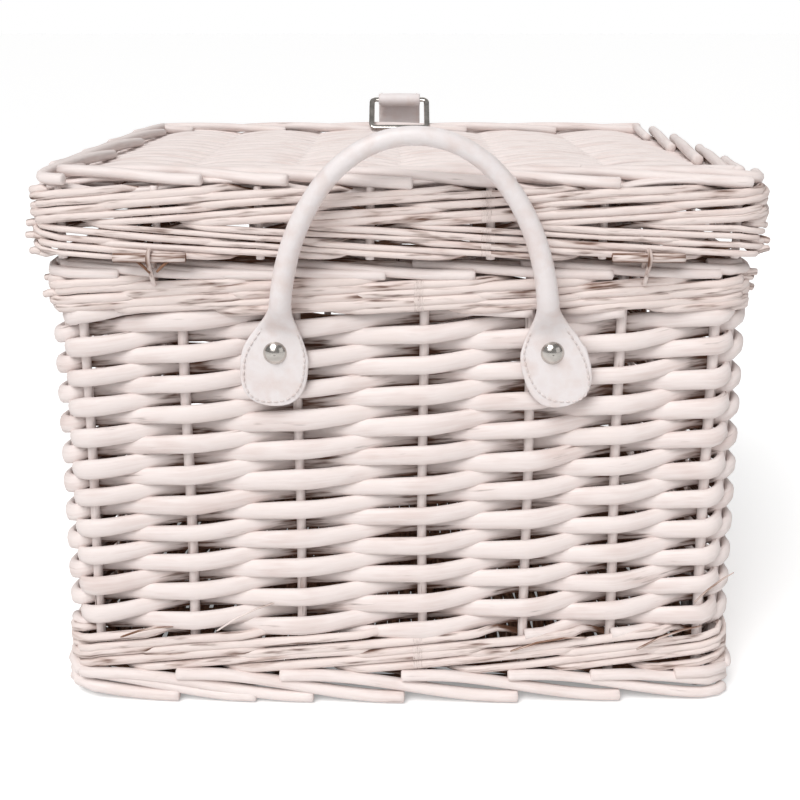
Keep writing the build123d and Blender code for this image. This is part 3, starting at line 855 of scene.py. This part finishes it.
white_leather = leather_finish("white_leather", (0.79, 0.735, 0.73), 0.0005)
stitch_thread = leather_finish("stitch_thread", (0.7, 0.63, 0.61), 0.0002)
joints = {joint["name"]: joint for joint in frame["joints"]}
near_pivot = Vector(joints["near_handle_fold"]["pos_m"]) / mm
far_pivot = Vector(joints["far_handle_swing"]["pos_m"]) / mm
tab_skin_y = 8.8
tab_round_h = -33.5
tab_round_r = 17.4
tab_neck_r = 5.6
tab_drop = 20.6
tab_square = 2.6
grip_half = 66.6
grip_top = 86.3


def tab_width(h):
    """Half the width of a teardrop tab at a height above the pivot."""
    if h < tab_round_h:
        low = min((tab_round_h - h) / tab_drop, 0.9999)
        return tab_round_r * (1 - low**tab_square) ** (1 / tab_square)
    return tab_neck_r + (tab_round_r - tab_neck_r) * float(smooth((1.0 - h) / 32.0))


def tab_centre(h, hand, splay):
    """How far the tab's middle is from the handle's middle, with its lower end splayed."""
    down = max(-h, 0)
    return hand * (grip_half + 3.9 * min(down, 26) / 26 + max(down - 26, 0) * splay)


def tab_rings(hand, splay, top):
    """Rows of x, height, depth behind the pivot, half width, half thickness, squareness."""
    turns = np.linspace(0.04, math.pi / 2, 17)[:-1]
    heights = [tab_round_h - tab_drop * math.cos(a) for a in turns]
    heights += list(np.arange(tab_round_h, top, 1.6))
    rows = []
    for h in heights:
        x = tab_centre(h, hand, splay)
        back = tab_skin_y * (1 - float(smooth((h + 17) / 21)))
        thick = 1.5 + 4.0 * float(smooth((h + 15) / 18))
        flat = 1 - float(smooth((h + 16) / 13))
        rows.append((x, h, back, tab_width(h), thick, flat))
    return rows


def grip_rings():
    """The rolled grip from its left end over the crown to its right end."""
    rows = []
    for t in np.linspace(0.03, 0.97, 90):
        side = -1 if t < 0.5 else 1
        q = 2 * t if t < 0.5 else 2 * (1 - t)
        start, lift, bend, crown = (1 - q) ** 3, 3 * q * (1 - q) ** 2, 3 * q * q * (1 - q), q**3
        x = side * (grip_half * start + 63.2 * lift + 38 * bend)
        h = 45 * lift + grip_top * bend + grip_top * crown
        size = 5.5 - 0.75 * float(smooth(h / 84))
        rows.append((x, h, 0, size, size, 0))
    return rows


def leather_run(rows, pivot, side, lean):
    """A handle's rows of rings put at its pivot, the grip leaning out by an angle."""
    at = []
    for x, h, back, *_ in rows:
        grip_part = max(h, 0)
        y = side * (grip_part * math.sin(lean) - back)
        z = min(h, 0) + grip_part * math.cos(lean)
        at.append((pivot.x + x, pivot.y + y, pivot.z + z))
    halves, thicks, flats = (np.array([row[k] for row in rows]) for k in (3, 4, 5))
    return rod(at, (0, side, 0), halves, thicks, square=flats, depth=9)


def stitch_places(hand, splay):
    """Evenly spaced places and directions of the stitches round one tab, in its plane."""
    inset = 2.1
    heights = np.arange(-11.0, tab_round_h, -0.5)
    inner, outer = (
        [(tab_centre(h, hand, splay) + side * (tab_width(h) - inset), h) for h in heights]
        for side in (-1, 1)
    )
    low = []
    for a in np.linspace(math.pi, 2 * math.pi, 60)[1:-1]:
        across = math.copysign(abs(math.cos(a)) ** (2 / tab_square), math.cos(a))
        h = tab_round_h - (tab_drop - inset) * abs(math.sin(a)) ** (2 / tab_square)
        low.append((tab_centre(h, hand, splay) + (tab_round_r - inset) * across, h))
    line = np.array(inner + low + outer[::-1])
    run = np.r_[0, np.cumsum(np.linalg.norm(np.diff(line, axis=0), axis=1))]
    spots = []
    for s in np.arange(1.0, run[-1] - 2.6, 3.3):
        first = [np.interp(s, run, line[:, k]) for k in (0, 1)]
        last = [np.interp(s + 2.35, run, line[:, k]) for k in (0, 1)]
        spots.append((first, last))
    return spots


def stitch(start, end, out):
    """One stitch: a short round thread whose ends go down into the leather."""
    start, end, out = Vector(start), Vector(end), Vector(out)
    line = []
    for t, lift in ((0, -0.4), (0.12, 0.1), (0.35, 0.3), (0.65, 0.3), (0.88, 0.1), (1, -0.4)):
        line.append(start.lerp(end, t) + out * lift)
    return rod(line, out, [0.3, 0.42, 0.46, 0.46, 0.42, 0.3], depth=9)


def tab_stitches(pivot, side, splays):
    """The stitches of both tabs of a handle."""
    made = []
    face = side * (-tab_skin_y + 1.3)
    for hand, splay in zip((-1, 1), splays):
        for ends in stitch_places(hand, splay):
            start, end = ((pivot.x + x, pivot.y + face, pivot.z + h) for x, h in ends)
            made.append(stitch(start, end, (0, side, 0)))
    return made


near_splays = (0.09, 0.29)
near_rows = tab_rings(-1, near_splays[0], 2.0) + grip_rings()
near_rows += tab_rings(1, near_splays[1], 2.0)[::-1]
near_lean = math.radians(5)
near_run = leather_run(near_rows, near_pivot, -1, near_lean)
near_handle = bend_rods(white_leather, "near_handle_leather", [near_run], sides=36)
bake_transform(near_handle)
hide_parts("near_handle_tabs", "near_grip")
near_stitches = tab_stitches(near_pivot, -1, near_splays)
near_thread = bend_rods(stitch_thread, "near_handle_stitches", near_stitches, sides=6)
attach(near_thread, "basket")

# Far handle: the same, but it hangs down outside the far wall, so the grip is its own
# piece and the tab's neck folds over into it at the pivot.
far_splays = (0.12, 0.12)
far_tabs = []
for hand, splay in zip((-1, 1), far_splays):
    rows = tab_rings(hand, splay, 2.0)
    last = rows[-1]
    for rise, shrink in ((1.6, 0.93), (3.0, 0.75), (4.0, 0.45)):
        rows.append((last[0], last[1] + rise, 0, 5.5 * shrink, 5.5 * shrink, 0))
    far_tabs.append(leather_run(rows, far_pivot, 1, 0))
far_tab_piece = bend_rods(white_leather, "far_handle_tabs_leather", far_tabs, sides=32)
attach(far_tab_piece, "basket")
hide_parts("far_handle_tabs")
far_stitches = tab_stitches(far_pivot, 1, far_splays)
far_thread = bend_rods(stitch_thread, "far_handle_stitches", far_stitches, sides=6)
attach(far_thread, "basket")
cap_sizes = ((-5.2, 0.35), (-4.4, 0.66), (-2.8, 0.9), (-0.4, 1.0))
caps = [(-grip_half, h, 0, tab_neck_r * size) for h, size in cap_sizes]
far_rows = caps + grip_rings() + [(-row[0], *row[1:]) for row in caps[::-1]]
hang = math.radians(175)
far_at = [
    (far_pivot.x + x, far_pivot.y + h * math.sin(hang), far_pivot.z + h * math.cos(hang))
    for x, h, *_ in far_rows
]
far_run = rod(far_at, (0, 1, 0), np.array([row[3] for row in far_rows]), depth=9)
far_grip = bend_rods(white_leather, "far_handle_grip_leather", [far_run], sides=32)
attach(far_grip, "far_handle")
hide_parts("far_grip")

# Rope cores inside both grips, a cotton rope that the leather is rolled round.
rope_cotton = leather_finish("rope_cotton", (0.62, 0.52, 0.4), 0.0008)
for core in ("near_grip_core", "far_grip_core"):
    frame["nodes"][core].data.materials.clear()
    frame["nodes"][core].data.materials.append(rope_cotton)

# Rivets, washers and the turn lock: nickel-plated steel, with fine scratches from use.
def scratch_group():
    """Fine scratches and smears on bright metal."""
    group, ins, outs = new_group("plated scratches", (("Polish", "NodeSocketFloat", 0.2),), (
        ("Roughness", "NodeSocketFloat"),
        ("Height", "NodeSocketFloat"),
        ("Tone", "NodeSocketFloat"),
    ))
    place = add_node(group, "ShaderNodeTexCoord")
    squeeze = add_node(group, "ShaderNodeVectorMath", operation="MULTIPLY", in_1=(1, 0.15, 1))
    lines = add_node(group, "ShaderNodeTexNoise", in_Scale=2600)
    smears = add_node(group, "ShaderNodeTexNoise", in_Scale=240)
    polish = math_node(
        group, "MULTIPLY_ADD", smears.outputs["Fac"], 0.16, ins.outputs["Polish"]
    )
    join_sockets(
        group,
        (place.outputs["Object"], squeeze.inputs[0]),
        (squeeze.outputs[0], lines.inputs["Vector"]),
        (place.outputs["Object"], smears.inputs["Vector"]),
        (polish, outs.inputs["Roughness"]),
        (lines.outputs["Fac"], outs.inputs["Height"]),
        (smears.outputs["Fac"], outs.inputs["Tone"]),
    )
    return group


plated_scratches = scratch_group()


def metal_finish(name, dark, bright, polish):
    """Plated metal between two tones."""
    finish, tree, skin, marks = new_finish(name, plated_scratches, 0.12, 0.0001)
    skin.inputs["Metallic"].default_value = 1.0
    marks.inputs["Polish"].default_value = polish
    tone = ramp_node(tree, marks.outputs["Tone"], (0.3, dark), (0.7, bright))
    join_sockets(tree, (tone, skin.inputs["Base Color"]))
    return finish


nickel = metal_finish("nickel_plate", (0.5, 0.47, 0.44), (0.68, 0.64, 0.6), 0.1)
for node in (
    "near_handle_rivets", "far_handle_rivets", "near_handle_washers", "far_handle_washers",
    "strap_rivets", "strap_washers", "lock_plate", "lock_rivets", "lock_washers", "turn_button",
):
    frame["nodes"][node].data.materials.clear()
    frame["nodes"][node].data.materials.append(nickel)

# Closing strap: a strip of the same white leather, riveted to the lid's far wall, that
# bends up past the border, over, round the ring's bar and back under itself.
def arc(x, y, radius, degrees):
    """Points on a circle at angles in degrees."""
    turns = np.radians(degrees)
    return list(zip(x + radius * np.cos(turns), y + radius * np.sin(turns)))


hook = Vector(joints["strap_fold"]["pos_m"]) / mm
bar = Vector(joints["ring_swing"]["pos_m"]) / mm
strap_low, strap_high = (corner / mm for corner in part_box("strap_base"))
leaf_y = strap_low.y + 1.0
strap_line = [(leaf_y, z) for z in np.linspace(strap_low.z, hook.z - 10, 6)]
for t in np.linspace(0.1, 1, 8):
    strap_line.append((leaf_y + (hook.y - leaf_y) * float(smooth(t)), hook.z - 10 + 9 * t))
bend_r = hook.y - bar.y - 1
loop_r = 3.65
top_z = bar.z + loop_r
strap_line += [(hook.y, z) for z in np.linspace(hook.z, top_z - bend_r, 9)]
strap_line += arc(hook.y - bend_r, top_z - bend_r, bend_r, np.linspace(0, 90, 8)[1:])
strap_line += arc(bar.y, bar.z, loop_r, np.linspace(90, 270, 13))
strap_line += [(bar.y + y, bar.z - z) for y, z in ((3.0, 3.5), (6.0, 3.2), (7.6, 2.9))]
strap_line = np.array(strap_line)
strap_steps = np.gradient(strap_line, axis=0)
strap_steps /= np.linalg.norm(strap_steps, axis=1)[:, None]
strap_outs = np.c_[np.zeros(len(strap_line)), strap_steps[:, 1], -strap_steps[:, 0]]
strap_half = np.full(len(strap_line), 15.2)
strap_half[:2] = 11.5, 15.0
strap_at = np.c_[np.full(len(strap_line), hook.x), strap_line]
strap_band = rod(strap_at, strap_outs, strap_half, 0.95, square=1.0, depth=9)
strap = bend_rods(white_leather, "strap_leather", [strap_band], sides=28)
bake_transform(strap)
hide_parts("strap_base", "strap")
strap_run = np.r_[0, np.cumsum(np.linalg.norm(np.diff(strap_line, axis=0), axis=1))]
strap_thread = []
for edge in (-1, 1):
    for s in np.arange(3.0, strap_run[-4] - 14, 3.6):
        ends = []
        for r in (s, s + 2.5):
            y, z = (np.interp(r, strap_run, strap_line[:, k]) for k in (0, 1))
            out = Vector((0, *(np.interp(r, strap_run, strap_outs[:, k]) for k in (1, 2))))
            ends.append((Vector((hook.x + edge * 12.9, y, z)) + out * 0.9, out))
        strap_thread.append(stitch(ends[0][0], ends[1][0], ends[0][1]))
strap_stitches = bend_rods(stitch_thread, "strap_stitches", strap_thread, sides=6)
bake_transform(strap_stitches)

# Closure ring: flat nickel-plated wire bent into a rectangle with rounded corners, its
# long bar in the strap's loop and its legs leaning on the lid.
ring_lean = math.radians(41.2)
ring_line = []
for cx, cd, first in ((17, 3, -90), (17, 25, 0), (-17, 25, 90), (-17, 3, 180)):
    ring_line += arc(cx, cd, 3, np.linspace(first, first + 90, 7))
ring_points = []
for k in range(len(ring_line)):
    here = np.array(ring_line[k])
    after = np.array(ring_line[(k + 1) % len(ring_line)])
    ring_points.append(here)
    if np.linalg.norm(after - here) > 4:
        ring_points += [here + (after - here) * f for f in (0.08, 0.5, 0.92)]
ring_at = [
    (hook.x + x, bar.y - d * math.cos(ring_lean), bar.z - d * math.sin(ring_lean))
    for x, d in ring_points
]
ring_out = (0, -math.sin(ring_lean), math.cos(ring_lean))
ring_wire = rod(ring_at, ring_out, 1.95, 1.15, square=0.55, depth=9)
closure_ring = bend_rods(nickel, "closure_ring_nickel", [ring_wire], sides=16, closed=True)
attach(closure_ring, "ring")
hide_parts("closure_ring")

# Loose twigs and fibres: trimmed ends that stick out of the weave at the corners and
# under the lid, and thin splinters that lift off the rods. Left as they broke.
twig_chance = random.Random(131)


def twig(x, y, z, turn, rise, length, thick, paint):
    """A short thin twig from a point, turned about Z and rising by an angle in degrees."""
    turn, rise = math.radians(turn), math.radians(rise)
    line = []
    for t in (0, 0.05, 0.35, 0.7, 0.95, 1):
        level = length * t * math.cos(rise)
        lift = length * (t * math.sin(rise) + 0.06 * math.sin(math.pi * t))
        line.append((x + level * math.cos(turn), y + level * math.sin(turn), z + lift))
    sizes = np.array([0.7, 1, 1, 0.9, 0.8, 0.5]) * thick
    return rod(line, (0, -1, 0.1), sizes, depth=1, shade=twig_chance.random(), paint=paint)


def corner_stubs(x, y, low, step, count, scatter, turn, lengths, sizes):
    """Trimmed rod ends, one above the other, that poke out of all four corners."""
    made = []
    for corner_x in (-1, 1):
        for corner_y in (-1, 1):
            for k in range(count):
                z = low + step * k + twig_chance.uniform(-scatter, scatter)
                away = 90 - corner_x * 90 + twig_chance.uniform(-turn, turn)
                rise = twig_chance.uniform(-12, 12)
                made.append(twig(
                    corner_x * x, corner_y * (y - 3 * k), z, away, rise,
                    twig_chance.uniform(*lengths), twig_chance.uniform(*sizes), 1.0,
                ))
    return made


body_twigs = [
    twig(-123.5, -138.6, 240.5, 118, 38, 6.5, 0.7, 0.5),
    twig(158, -136.0, 60, 12, 34, 27, 0.45, 0.7),
    twig(-98, -137.0, 44, 8, 24, 34, 0.5, 0.8),
    twig(-150, -136.4, 40, -4, 14, 30, 0.6, 0.7),
    twig(60, -137.2, 32, 4, 9, 42, 0.55, 0.6),
    twig(128, -137.0, 33, 6, 18, 38, 0.6, 0.75),
]
body_twigs += corner_stubs(175, 123, 231, 0, 4, 9, 25, (8.5, 11.0), (1.9, 2.4))
loose_twigs = bend_rods(thin_willow, "loose_body_twigs", body_twigs, sides=8)
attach(loose_twigs, "basket")
lid_twigs = corner_stubs(181, 129, 252, 5.6, 6, 1.5, 30, (7.0, 9.4), (1.8, 2.3))
lid_twigs += [
    twig(-133, -140.5, 249.8, -12, -38, 12, 0.8, 0.5),
    twig(-113, -141.0, 249.5, 196, -40, 10, 0.8, 0.35),
]
loose_lid_twigs = bend_rods(thin_willow, "loose_lid_twigs", lid_twigs, sides=8)
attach(loose_lid_twigs, "lid")
